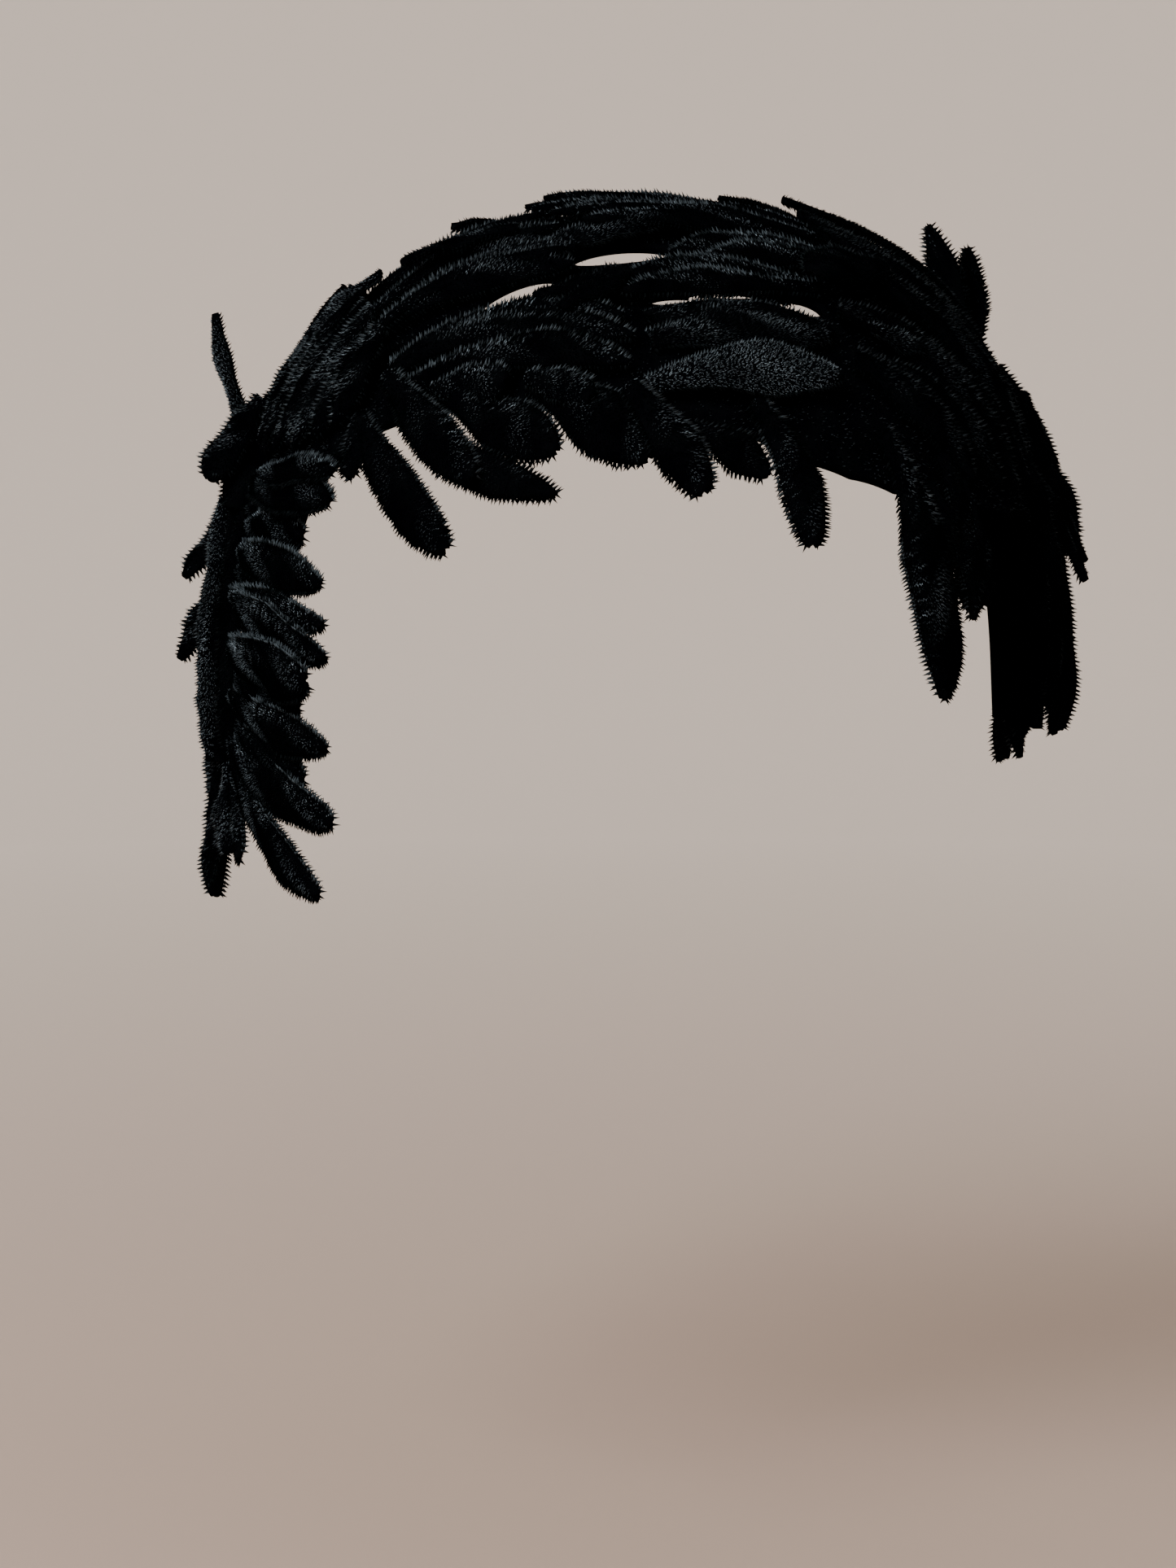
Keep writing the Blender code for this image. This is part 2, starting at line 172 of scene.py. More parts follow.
# Rayon velvet ground, woven and dyed black. Seen between its pile it gives back almost no light, but
# for a fine nap and worn patches a few millimetres wide.
GROUND_DARK = "010102"
GROUND_WORN = "040506"
GROUND_PATCH = 6 * MM
NAP_GRAIN = 0.5 * MM
NAP_DEPTH = 0.3 * MM
ground = new_material("rayon_velvet_ground")
coords = add_node(ground, "ShaderNodeTexCoord")
patches = add_node(ground, "ShaderNodeTexNoise", {
    "Vector": coords.outputs["Object"], "Scale": 1 / GROUND_PATCH, "Detail": 4.0, "Roughness": 0.6})
shade = add_node(ground, "ShaderNodeValToRGB", {"Fac": patches.outputs["Fac"]})
shade.color_ramp.elements[0].position = 0.35
shade.color_ramp.elements[0].color = linear(GROUND_DARK)
shade.color_ramp.elements[1].position = 0.75
shade.color_ramp.elements[1].color = linear(GROUND_WORN)
nap = add_node(ground, "ShaderNodeTexNoise", {
    "Vector": coords.outputs["Object"], "Scale": 1 / NAP_GRAIN, "Detail": 2.0})
relief = add_node(ground, "ShaderNodeBump", {
    "Height": nap.outputs["Fac"], "Strength": 0.6, "Distance": NAP_DEPTH})
cloth = add_node(ground, "ShaderNodeBsdfPrincipled", {
    "Base Color": shade.outputs["Color"], "Roughness": 0.95, "Specular IOR Level": 0.0,
    "Normal": relief.outputs["Normal"]})
add_node(ground, "ShaderNodeOutputMaterial", {"Surface": cloth.outputs["BSDF"]})

# Rayon velvet pile, cut and brushed. Where its ends catch the light they show as fine grey-blue specks,
# which are painted
# sheen: a tuft's colour runs from PILE_DARK up to PILE_LIT by its painted sheen. Real tufts are too fine
# for the picture, so one drawn here stands for several.
PILE_DARK = "010202"
PILE_LIT = "8c9ba5"
PILE_FOOT_LIGHT = 0.4
PILE_LENGTHS = (0.6, 1.1)
TUFT_FACES = np.array([[0, 1, 3], [1, 2, 3], [2, 0, 3], [0, 2, 1]])
pile = new_material("rayon_velvet_pile")
tip = add_node(pile, "ShaderNodeAttribute", attribute_name="tip")
shade = add_node(pile, "ShaderNodeValToRGB", {"Fac": tip.outputs["Fac"]})
shade.color_ramp.elements[0].color = linear(PILE_DARK)
shade.color_ramp.elements[1].color = linear(PILE_LIT)
fibre = add_node(pile, "ShaderNodeBsdfPrincipled", {
    "Base Color": shade.outputs["Color"], "Roughness": 0.7, "Specular IOR Level": 0.0})
add_node(pile, "ShaderNodeOutputMaterial", {"Surface": fibre.outputs["BSDF"]})


def add_pile(name, roots, ways, lengths, radii, gloss):
    """Pile as one mesh: a thin three-sided tuft at each root, along its way, made lighter at its end by
    painted sheen.
    """
    count = len(roots)
    spin = rng.uniform(0, 2 * math.pi, count)
    aside = unit(np.cross(ways, unit(rng.normal(size=(count, 3)))))
    across = np.cross(ways, aside)
    corners = [roots + (aside * np.cos(spin + turn)[:, None] + across * np.sin(spin + turn)[:, None])
               * radii[:, None] for turn in (0, 2 * math.pi / 3, 4 * math.pi / 3)]
    corners.append(roots + ways * np.asarray(lengths)[:, None])
    points = np.stack(corners, axis=1).reshape(-1, 3)
    faces = (np.arange(count)[:, None, None] * 4 + TUFT_FACES).reshape(-1)
    mesh = bpy.data.meshes.new(name)
    mesh.vertices.add(len(points))
    mesh.vertices.foreach_set("co", points.ravel())
    mesh.loops.add(len(faces))
    mesh.loops.foreach_set("vertex_index", faces)
    mesh.polygons.add(len(faces) // 3)
    mesh.polygons.foreach_set("loop_start", np.arange(0, len(faces), 3))
    mesh.update(calc_edges=True)
    # Painted sheen: each tuft's end gets its whole share, and its foot a part of it.
    tips = np.zeros((count, 4))
    tips[:, :3] = PILE_FOOT_LIGHT * np.asarray(gloss)[:, None]
    tips[:, 3] = gloss
    mesh.attributes.new("tip", "FLOAT", "POINT").data.foreach_set("value", tips.ravel())
    return new_piece(name, mesh, pile)


def add_cloth(name, bm, thickness):
    """A solid's velvet ground in its place: a finished bmesh, smoothed and given its thickness."""
    mesh = bpy.data.meshes.new(name + "_velvet")
    bm.to_mesh(mesh)
    bm.free()
    mesh.polygons.foreach_set("use_smooth", [True] * len(mesh.polygons))
    piece = new_piece(name + "_velvet", mesh, ground)
    wall = piece.modifiers.new("wall", "SOLIDIFY")
    wall.thickness = thickness
    wall.offset = 0
    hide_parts(name)
    return piece


def band_fore(side, share):
    """Degrees forward of places across the band, from its back edge at 0 to its front edge at 1."""
    return between(np.interp(side, *zip(*BAND_BACK)), np.interp(side, *zip(*BAND_FRONT)), share)


def opening_reach(side, fore):
    """How far places are from the middle of each opening, as shares of the way to its oval edge."""
    return np.stack([np.hypot((side - hole.side) / hole.half_side, (fore - hole.fore) / hole.half_fore)
                     for hole in BAND_OPENINGS])


bm = bmesh.new()
bmesh.ops.create_grid(bm, x_segments=BAND_CELLS_OVER, y_segments=BAND_CELLS_ACROSS, size=0.5)
cells = np.array([vert.co for vert in bm.verts])
sides = between(BAND_LEFT_END, BAND_RIGHT_END, cells[:, 0] + 0.5)
fores = band_fore(sides, cells[:, 1] + 0.5)
cut_out = set()
for face in bm.faces:
    corners = [vert.index for vert in face.verts]
    if opening_reach(sides[corners].mean(), fores[corners].mean()).min() < 1:
        cut_out.add(face)
for vert in bm.verts:
    open_faces = sum(face in cut_out for face in vert.link_faces)
    if 0 < open_faces < len(vert.link_faces):
        reach = opening_reach(sides[vert.index], fores[vert.index])
        nearest = np.abs(reach - 1).argmin()
        hole = BAND_OPENINGS[nearest]
        sides[vert.index] = hole.side + (sides[vert.index] - hole.side) / reach[nearest]
        fores[vert.index] = hole.fore + (fores[vert.index] - hole.fore) / reach[nearest]
for vert, point in zip(bm.verts, place(sides, fores, BAND_LIFT)):
    vert.co = point
bmesh.ops.delete(bm, geom=list(cut_out), context="FACES")
band = add_cloth("foundation_band", bm, BAND_THICKNESS)

# Pile over the band, brushed forward and down. Little light reaches it under the leaves, so its tufts
# get little painted sheen.
BAND_TUFTS = 18000
BAND_PILE = 1.05 * MM
BAND_TUFT = 0.18 * MM
BAND_PILE_FOOT = 0.95
BAND_BRUSHING = np.array([0, -0.5, -0.3])
BAND_BRISTLING = 0.25
BAND_PAINTED_SHEEN = 0.1
side = rng.uniform(BAND_LEFT_END, BAND_RIGHT_END, BAND_TUFTS)
fore = band_fore(side, rng.uniform(0, 1, BAND_TUFTS))
shown = opening_reach(side, fore).min(0) > 1
side, fore = side[shown], fore[shown]
off = off_form(side, fore)
ways = unit(off + BAND_BRUSHING + rng.normal(0, BAND_BRISTLING, off.shape))
add_pile("foundation_band_pile", place(side, fore, BAND_LIFT + BAND_PILE_FOOT), ways,
         rng.uniform(*PILE_LENGTHS, len(side)) * BAND_PILE, np.full(len(side), BAND_TUFT),
         BAND_PAINTED_SHEEN * rng.random(len(side)) ** 2)


# Ribs: long leaves cut from velvet and stuck back to back over a stem wire, laid along the band like
# shingles, two or three to a stem. Each spray of them is stitched down over the stem ends of the next.
LEAF_THICKNESS = 1.1 * MM
LEAF_ROWS = 32
LEAF_COLUMNS = 8
LEAF_TIP_CROWDING = 1.5
LEAF_STEP = 0.02
LEAF_WIDEST = 0.62
LEAF_BASE = 0.36
LEAF_TIP = 0.997
RIB_CROWN = 0.7
EDGE_WAVE = 0.45
EDGE_WAVES = 2.2
CURL = 0.3
CURL_RATE = 1.7
TWIST = 7
TWIST_RATE = 5

# Leaf: where its base and its tip are, in degrees; then, in millimetres, its width, how far its base
# and its tip stand off the block, and the bow of its spine; then its roll in degrees, how sharply it
# is pointed, and how much painted sheen its pile carries.
Leaf = namedtuple("Leaf", "name side fore tip_side tip_fore width lift tip_lift bow roll point gloss")


def pointed(leaf, along):
    """Half width of a leaf against its widest: a narrow base, widest at two thirds, then its point."""
    rise = np.clip(along / LEAF_WIDEST, 0, 1)
    swell = between(LEAF_BASE, 1, rise * rise * (3 - 2 * rise))
    end = np.clip((along - LEAF_WIDEST) / (1 - LEAF_WIDEST), 0, LEAF_TIP)
    return swell * (1 - end ** 2) ** leaf.point


def spine(leaf, along):
    """Points on the line from a leaf's base to its tip, which follows the block."""
    return place(between(leaf.side, leaf.tip_side, along), between(leaf.fore, leaf.tip_fore, along),
                 between(leaf.lift, leaf.tip_lift, along))


def leaf_sheet(leaf, outline, crown, along, across):
    """Points on the middle sheet of a leaf, with the directions along, over and off it there."""
    run = unit(spine(leaf, along + LEAF_STEP) - spine(leaf, along - LEAF_STEP))
    out = off_form(between(leaf.side, leaf.tip_side, along), between(leaf.fore, leaf.tip_fore, along))
    out = unit(out - run * (out * run).sum(-1, keepdims=True))
    sideways = np.cross(out, run)
    turn = TWIST_RATE * along + leaf.side + 2 * leaf.tip_fore
    roll = np.radians(leaf.roll + TWIST * np.sin(turn))[:, None]
    edge = sideways * np.cos(roll) + out * np.sin(roll)
    face = out * np.cos(roll) - sideways * np.sin(roll)
    middle = spine(leaf, along) + sideways * (leaf.bow * MM * np.sin(math.pi * along))[:, None]
    half = leaf.width * MM / 2 * outline(leaf, along)
    wave = EDGE_WAVE * np.sin(2 * math.pi * EDGE_WAVES * along + leaf.side + leaf.tip_fore)
    height = crown * (1 - across ** 2) + wave * across * outline(leaf, along)
    height = height + CURL * np.sin(CURL_RATE * turn)
    points = middle + edge * (across * half)[:, None] + face * (height * MM)[:, None]
    slope = 2 * crown * MM * across / np.maximum(half, 1 * MM)
    return points, run, edge, unit(face + edge * slope[:, None])


# Pile of a leaf: short over its faces, in rows that slant back to its middle, and a comb of longer
# tufts along its edges. A root is a share of the cloth's thickness off its middle, and a slip or a
# slant is a share of the space between rows.
FEWEST_ROWS = 4
PILE_ROW = 0.9 * MM
PILE_SPACING = 0.36 * MM
PILE_SLANT = 2.0
ROW_SLIP = 0.25
COLUMN_SLIP = 0.3
FACE_PILE = 0.9 * MM
FACE_TUFT = 0.17 * MM
FACE_ROOT = 0.4
FACE_LEAN = 0.8
FACE_BRISTLING = (0.15, 0.5)
BACK_COVER = 0.12
EDGE_PILE = 2.0 * MM
EDGE_TUFT = 0.4 * MM
EDGE_ROOT = 0.2
EDGE_PLACE = 0.97
EDGE_FAN = np.radians([-45, 0, 45])
EDGE_LENGTHS = (0.7, 1.05)
EDGE_LEAN = 0.4
EDGE_SLIP = 0.06
EDGE_BRISTLING = 0.07

# Painted sheen of the pile, put into its colour: painted highlight streaks on the side of a leaf that
# faces the light, and patches of painted sheen down its middle. A leaf whose painted sheen passes
# CRUSHED_FROM
# is pressed flat: its pile is finer and lies every way, and it is painted shining all over.
LIGHT_SIDE = np.array([-0.35, 0.35, 0.87])
STREAK_PLACE = 0.7
STREAK_SPREAD = 0.2
STREAK_DRIFT = 0.12
STREAK_PATCHES = 9
MIDDLE_PAINTED_SHEEN = 0.36
MIDDLE_SHEEN_SPREAD = 0.5
MIDDLE_SHEEN_PATCHES = 13
ROW_SHINE = (0.15, 0.9)
TUFT_SHINE = (0.4, 1.3)
EDGE_SHINE = (0.03, 0.33)
CRUSHED_FROM = 0.6
CRUSHED_FINER = 0.3
CRUSHED_DULLER = 0.6
CRUSHED_EVENNESS = 0.8


def crushing(leaf):
    """How far a leaf is crushed flat, from its painted sheen: 0 where it isn't, and 0.8 for the one with
    the most.
    """
    return max(leaf.gloss - CRUSHED_FROM, 0) * 2


def fineness(leaf):
    """The size of a leaf's tufts against those of an uncrushed leaf."""
    return 1 - CRUSHED_FINER * crushing(leaf)


def face_places(leaf, outline, rows, cover):
    """Where the tufts of one face are rooted: each one's row, and its shares along and across."""
    columns = max(int(leaf.width * MM / PILE_SPACING / fineness(leaf)), FEWEST_ROWS)
    row, across = (part.ravel() for part in np.meshgrid(np.arange(rows), np.linspace(-1, 1, columns)))
    slip = rng.normal(0, ROW_SLIP * (1 + crushing(leaf)), row.size)
    along = (row + 0.5 - PILE_SLANT * (1 - np.abs(across)) + slip) / rows
    across = across + rng.normal(0, COLUMN_SLIP / columns, across.size)
    kept = rng.random(along.size) < outline(leaf, along) * cover
    return row[kept], np.clip(along[kept], 0, 1), np.clip(across[kept], -1, 1)


def painted_streaks(leaf, rows, row, along, across, edge):
    """Painted highlight on the pile that turns to the light, broken up from row to row and along the
    leaf.
    """
    crushed = crushing(leaf)
    high = across * np.sign(edge @ LIGHT_SIDE) + STREAK_DRIFT * rng.normal(size=rows)[row]
    lit = np.maximum(np.exp(-((high - STREAK_PLACE) / STREAK_SPREAD) ** 2), crushed)
    patch = 0.5 + 0.5 * np.sin(STREAK_PATCHES * along + 2 * across + leaf.fore + leaf.tip_side)
    shine = between(rng.random(rows)[row] ** 2, rng.uniform(*ROW_SHINE, row.size), crushed)
    shine *= rng.uniform(*TUFT_SHINE, row.size) * (1 - CRUSHED_DULLER * crushed)
    return lit * between(patch, CRUSHED_EVENNESS, crushed) * shine


def painted_middle_sheen(leaf, along, across):
    """Painted sheen in patches down the middle of a leaf."""
    patch = np.maximum(np.sin(MIDDLE_SHEEN_PATCHES * along + 2 * across + leaf.side), 0)
    return MIDDLE_PAINTED_SHEEN * np.exp(-(across / MIDDLE_SHEEN_SPREAD) ** 2) * patch * rng.random(along.size)


def face_pile(leaf, outline, crown, rows, sign, cover):
    """Pile of a leaf's front or back: the roots, ways, lengths, radii and painted sheen of its tufts."""
    row, along, across = face_places(leaf, outline, rows, cover)
    points, run, edge, off = leaf_sheet(leaf, outline, crown, along, across)
    light = painted_streaks(leaf, rows, row, along, across, edge)
    bristling = rng.normal(0, between(*FACE_BRISTLING, crushing(leaf)), off.shape)
    ways = unit(off * sign + run * FACE_LEAN + edge * (FACE_LEAN * across)[:, None] + bristling)
    lengths = FACE_PILE * fineness(leaf) * rng.uniform(*PILE_LENGTHS, row.size)
    return (points + sign * off * LEAF_THICKNESS * FACE_ROOT, ways, lengths,
            np.full(row.size, FACE_TUFT * fineness(leaf)),
            2 * leaf.gloss * (light + painted_middle_sheen(leaf, along, across)))


def edge_pile(leaf, outline, crown, rows, sign):
    """Comb of tufts along one edge of a leaf, spread like a fan over its thickness."""
    row, fan = (part.ravel() for part in np.meshgrid(np.arange(rows), EDGE_FAN))
    along = (row + 0.5 + rng.normal(0, EDGE_SLIP, row.size)) / rows
    lengths = EDGE_PILE * fineness(leaf) * rng.uniform(*EDGE_LENGTHS, rows)[row] * np.cos(fan * 0.6)
    places = np.full(row.size, sign * EDGE_PLACE)
    points, run, edge, off = leaf_sheet(leaf, outline, crown, along, places)
    outward = edge * sign * np.cos(fan)[:, None] + off * np.sin(fan)[:, None]
    ways = unit(outward + run * EDGE_LEAN + rng.normal(0, EDGE_BRISTLING, outward.shape))
    # Painted highlight: the comb along the edge that faces the light gets far more painted sheen than
    # the other.
    facing = 0.55 + 0.45 * sign * np.sign(edge @ LIGHT_SIDE)
    light = between(*EDGE_SHINE, leaf.gloss) * facing
    return (points + outward * LEAF_THICKNESS * EDGE_ROOT, ways, lengths,
            np.full(row.size, EDGE_TUFT * fineness(leaf)), light * rng.random(rows)[row])


def leaf_pile(leaf, outline, crown):
    """All the pile of a leaf: its front, a thin cover on its back, and both its edges."""
    length = np.linalg.norm(np.diff(spine(leaf, np.linspace(0, 1, 33)), axis=0), axis=1).sum()
    rows = max(int(length / PILE_ROW / fineness(leaf)), FEWEST_ROWS)
    parts = [face_pile(leaf, outline, crown, rows, 1, 1.0),
             face_pile(leaf, outline, crown, rows, -1, BACK_COVER),
             edge_pile(leaf, outline, crown, rows, 1),
             edge_pile(leaf, outline, crown, rows, -1)]
    return [np.concatenate(part) for part in zip(*parts)]


def add_leaves(table, outline, crown):
    """The leaves of one table, each with its pile. Rows that share a name grow from one stem."""
    for name, stem in groupby(table, key=lambda leaf: leaf.name):
        bm = bmesh.new()
        piles = []
        for leaf in stem:
            made = bmesh.ops.create_grid(bm, x_segments=LEAF_ROWS, y_segments=LEAF_COLUMNS, size=0.5)
            cells = np.array([vert.co for vert in made["verts"]])
            along = 1 - (0.5 - cells[:, 0]) ** LEAF_TIP_CROWDING
            points = leaf_sheet(leaf, outline, crown, along, cells[:, 1] * 2)[0]
            for vert, point in zip(made["verts"], points):
                vert.co = point
            piles.append(leaf_pile(leaf, outline, crown))
        add_cloth(name, bm, LEAF_THICKNESS)
        roots, ways, lengths, radii, gloss = (np.concatenate(part) for part in zip(*piles))
        add_pile(name + "_pile", roots, ways, lengths, radii, np.clip(gloss, 0, 1))


RIBS = [
    Leaf("left_rib_1", -41, -0.5, -61, -11.5, 7, 8, 4.4, -0.5, -20, 0.9, 0.55),
    Leaf("left_rib_1", -41, -0.5, -61.5, -8, 7, 8, 4.4, 0.5, -20, 0.9, 0.55),
    Leaf("left_rib_1", -41, 1.5, -60, -7, 4, 9.2, 5.8, 0, -20, 0.8, 0.5),
    Leaf("left_rib_2", -41, 5, -61.5, -4, 7, 8, 4.4, -0.5, -20, 0.9, 0.65),
    Leaf("left_rib_2", -41, 5, -61.5, -0.5, 7, 8, 4.4, 0.5, -20, 0.9, 0.65),
    Leaf("left_rib_2", -41, 6, -61, -1.5, 4, 9.2, 5.8, 0, -20, 0.8, 0.5),
    Leaf("left_rib_3", -41, 10, -61.5, 3, 7, 8, 4.4, -0.5, -20, 0.9, 0.5),
    Leaf("left_rib_3", -41, 10, -61.5, 6, 7, 8, 4.4, 0.5, -20, 0.9, 0.5),
    Leaf("left_rib_3", -38, 9, -48, 3.5, 6, 9, 8.6, 0, -10, 0.6, 0.8),
    Leaf("left_rib_3", -41, 10.5, -61, 3.8, 4, 9.2, 5.8, 0, -20, 0.8, 0.5),
    Leaf("left_rib_4", -42, 15.5, -60.5, 10.5, 7, 8, 4.4, -0.5, -20, 0.9, 0.7),
    Leaf("left_rib_4", -42, 15.5, -60, 13.5, 7, 8, 4.4, 0.5, -20, 0.9, 0.7),
    Leaf("left_rib_4", -42, 14, -60, 9, 4, 9.2, 5.8, 0, -20, 0.8, 0.55),
    Leaf("left_rib_5", -43.5, 20.5, -58.5, 17.5, 7, 8, 4.4, -0.5, -20, 0.9, 0.6),
    Leaf("left_rib_5", -43.5, 20.5, -56, 21, 7, 8, 4.4, 0.5, -20, 0.9, 0.6),
    Leaf("upper_rib_1", -13, 4, -34, 2, 8, 3.6, 3.6, 0, -10, 0.7, 0.6),
    Leaf("upper_rib_1", -13, 4, -34, -3, 7, 3.6, 3.6, 0, -10, 0.7, 0.6),
    Leaf("upper_rib_2", -45, 6, -15, 9, 7, 4.4, 4.4, 0.5, 20, 0.9, 0.6),
    Leaf("upper_rib_2", -45, 6, -15, 12.5, 7, 4.4, 4.4, -0.5, 20, 0.9, 0.6),
    Leaf("upper_rib_2", -22, 16, -36, 13, 6, 6.5, 9.5, 0, 0, 0.4, 0.35),
    Leaf("upper_rib_2", -44, 7, -17, 10.8, 4, 5.6, 5.6, 0.5, 20, 0.8, 0.65),
    Leaf("upper_rib_3", -45, 11, -15, 16, 7, 4.4, 4.4, 0.5, 20, 0.9, 0.6),
    Leaf("upper_rib_3", -45, 11, -15, 19.5, 7, 4.4, 4.4, -0.5, 20, 0.9, 0.6),
    Leaf("upper_rib_3", -25, 22, -4, 20, 6, 4.2, 5.5, 0.5, 20, 0.6, 0.7),
    Leaf("upper_rib_3", -44, 12, -17, 17.6, 4, 5.6, 5.6, 0.5, 20, 0.8, 0.65),
    Leaf("upper_rib_4", -45.5, 15.5, -17, 23.5, 7, 4.4, 4.4, 0.5, 20, 0.9, 0.6),
    Leaf("upper_rib_4", -45.5, 15.5, -19, 27.5, 7, 4.4, 4.4, -0.5, 20, 0.9, 0.6),
    Leaf("upper_rib_4", -44, 17, -19, 25.3, 4, 5.6, 5.6, 0.5, 20, 0.8, 0.6),
    Leaf("upper_rib_5", -47, 25.5, -17, 40, 7.5, 4.4, 4.4, 0.5, 15, 0.9, 0.6),
    Leaf("upper_rib_5", -47, 25.5, -17, 43.5, 7, 4.4, 4.4, -0.5, 15, 0.9, 0.6),
    Leaf("upper_rib_5", -25, 36.5, -13, 33, 6, 5.6, 5.6, 0, 0, 0.5, 0.05),
    Leaf("upper_rib_5", -27, 32.5, -14, 34, 5, 5, 6, 0, 0, 0.5, 0.05),
    Leaf("upper_rib_6", -48, 30, -20, 47, 7.5, 4.4, 4.4, 0, 15, 0.9, 0.6),
    Leaf("middle_rib_1", 8, 5, -14, 0, 8, 3.5, 5.4, 0, -10, 0.7, 0.55),
    Leaf("middle_rib_2", 22, 11, -18, 10, 7, 3.6, 7.2, 0.5, -20, 0.9, 0.55),
    Leaf("middle_rib_2", 22, 11, -18, 6.5, 7, 3.6, 7.2, -0.5, -20, 0.9, 0.55),
    Leaf("middle_rib_2", 20, 11, -16, 8.5, 4, 4.8, 8.2, 0, -20, 0.8, 0.6),
    Leaf("middle_rib_3", 22, 17, -17, 15, 7, 3.7, 7.0, -0.5, -20, 0.9, 0.55),
    Leaf("middle_rib_3", 22, 16.5, -14, 19.3, 7, 3.7, 7.0, 0.5, -20, 0.9, 0.55),
    Leaf("middle_rib_3", 20, 17, -14, 17, 4, 4.9, 8.0, 0, -20, 0.8, 0.6),
    Leaf("middle_rib_4", 22, 23, -4.5, 28.3, 7, 4.2, 4.6, -0.5, -20, 0.9, 0.55),
    Leaf("middle_rib_4", 22, 24.5, -2, 31, 6.5, 4.2, 4.6, 0.5, -20, 0.9, 0.55),
    Leaf("middle_rib_5", 18, 32, -14, 32.6, 6, 3.4, 4.4, -0.5, -15, 0.9, 0.55),
    Leaf("middle_rib_5", 18, 33.2, -15, 36, 5.5, 3.4, 5.0, 0.5, -15, 0.9, 0.55),
    # Most ribs on the right face away from the light, so their pile gets little painted sheen.
    Leaf("right_rib_1", 34, 4, 12, -3, 9, 3.4, 7, 0, -10, 0.7, 0.16),
    Leaf("right_rib_1", 30, 4, 11, -1.5, 7, 5, 8.3, 0, 0, 0.9, 0.2),
    Leaf("right_rib_2", 19, 9, 55, 2, 7.5, 7.1, 6, 0.5, 20, 0.9, 0.16),
    Leaf("right_rib_2", 19, 9, 56, 6, 7.5, 7.1, 6, -0.5, 20, 0.9, 0.16),
    Leaf("right_rib_2", 17, 7, 47, 9, 6, 9.2, 8.8, 0, 0, 0.9, 0.2),
    Leaf("right_rib_3", 19, 14.5, 58, 10, 7.5, 7.1, 5, 0.5, 20, 0.9, 0.16),
    Leaf("right_rib_3", 19, 14.5, 58.5, 14, 7.5, 7.1, 5, -0.5, 20, 0.9, 0.16),
    Leaf("right_rib_4", 19, 20, 59, 18, 7.5, 7.1, 4.2, 0.5, 20, 0.9, 0.16),
    Leaf("right_rib_4", 19, 20, 59.5, 22, 7.5, 7.1, 4.2, -0.5, 20, 0.9, 0.16),
    Leaf("right_rib_5", 19, 26, 60, 26, 7.5, 6.8, 3.9, 0.5, 20, 0.9, 0.16),
    Leaf("right_rib_5", 19, 26, 60, 30, 7.5, 6.8, 3.9, -0.5, 20, 0.9, 0.16),
    Leaf("right_rib_5", 27, 26, 15, 35, 11, 8, 8.8, 0, 0, 0.5, 0.03),
    Leaf("right_rib_6", 20, 37, 60, 34.5, 7.5, 4.4, 4.4, 0.5, 15, 0.9, 0.16),
    Leaf("right_rib_6", 20, 37, 59, 39, 7.5, 4.4, 4.4, -0.5, 15, 0.9, 0.16),
    Leaf("right_rib_6", 25, 39.5, 35, 37.5, 5, 5, 5, 0, 0, 0.6, 0.65),
    Leaf("right_rib_7", 23, 45, 56, 43, 8, 4.4, 4.4, 0.5, 15, 0.9, 0.16),
    Leaf("right_rib_7", 23, 45, 51, 48.5, 8, 4.4, 4.4, -0.5, 15, 0.9, 0.16),
]
add_leaves(RIBS, pointed, RIB_CROWN)


